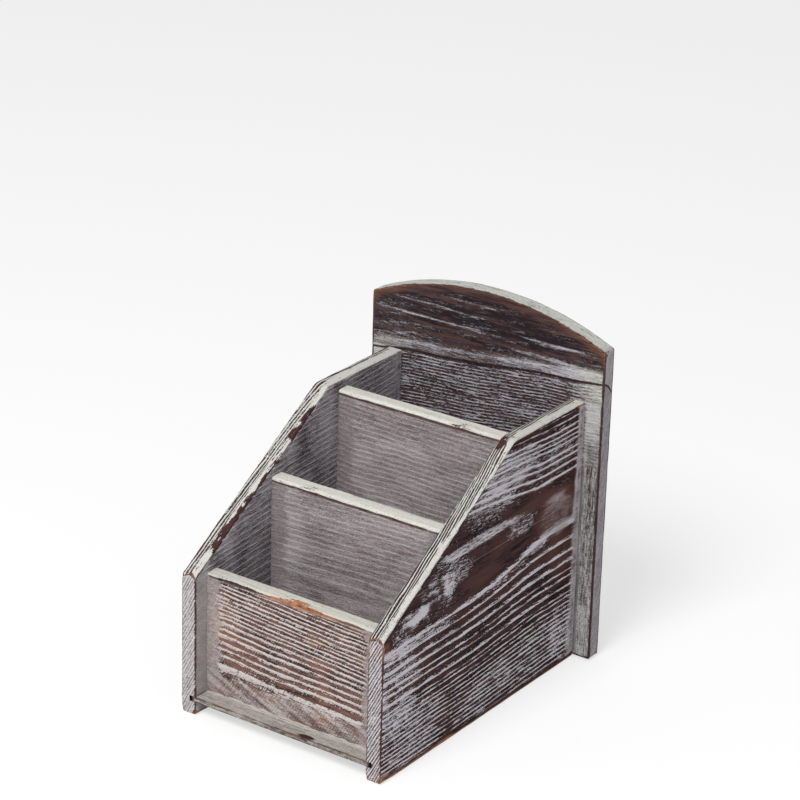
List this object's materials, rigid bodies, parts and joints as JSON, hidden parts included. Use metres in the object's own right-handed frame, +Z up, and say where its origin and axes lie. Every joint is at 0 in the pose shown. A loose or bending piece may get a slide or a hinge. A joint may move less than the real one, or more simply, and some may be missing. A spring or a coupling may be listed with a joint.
{
  "type": "remote control holder",
  "caption": "Slanted tabletop caddy of torched and white-washed wood boards with stepped slots, open at the top, and an arched back board.",
  "frame": {"origin": "on the floor plane under the middle of the whole object's box", "axes": "+X to the right as seen from the front, +Y towards the back board, +Z up; the front faces -Y"},
  "size_m": [0.152, 0.192, 0.2],
  "materials": {
    "side_wood": "torched, wire brushed, white wash",
    "panel_wood": "torched, wire brushed, white wash",
    "back_wood": "torched, wire brushed, white wash",
    "thin_board": "thin white wash",
    "brad_wire": "galvanised"
  },
  "bodies": {
    "root": {"left_side_panel": "side_wood", "right_side_panel": "side_wood", "front_panel": "panel_wood", "middle_divider": "panel_wood", "rear_divider": "panel_wood", "bottom_board": "thin_board", "back_board": "back_wood", "side_brads": "brad_wire", "back_brads": "brad_wire"}
  },
  "joints": []
}
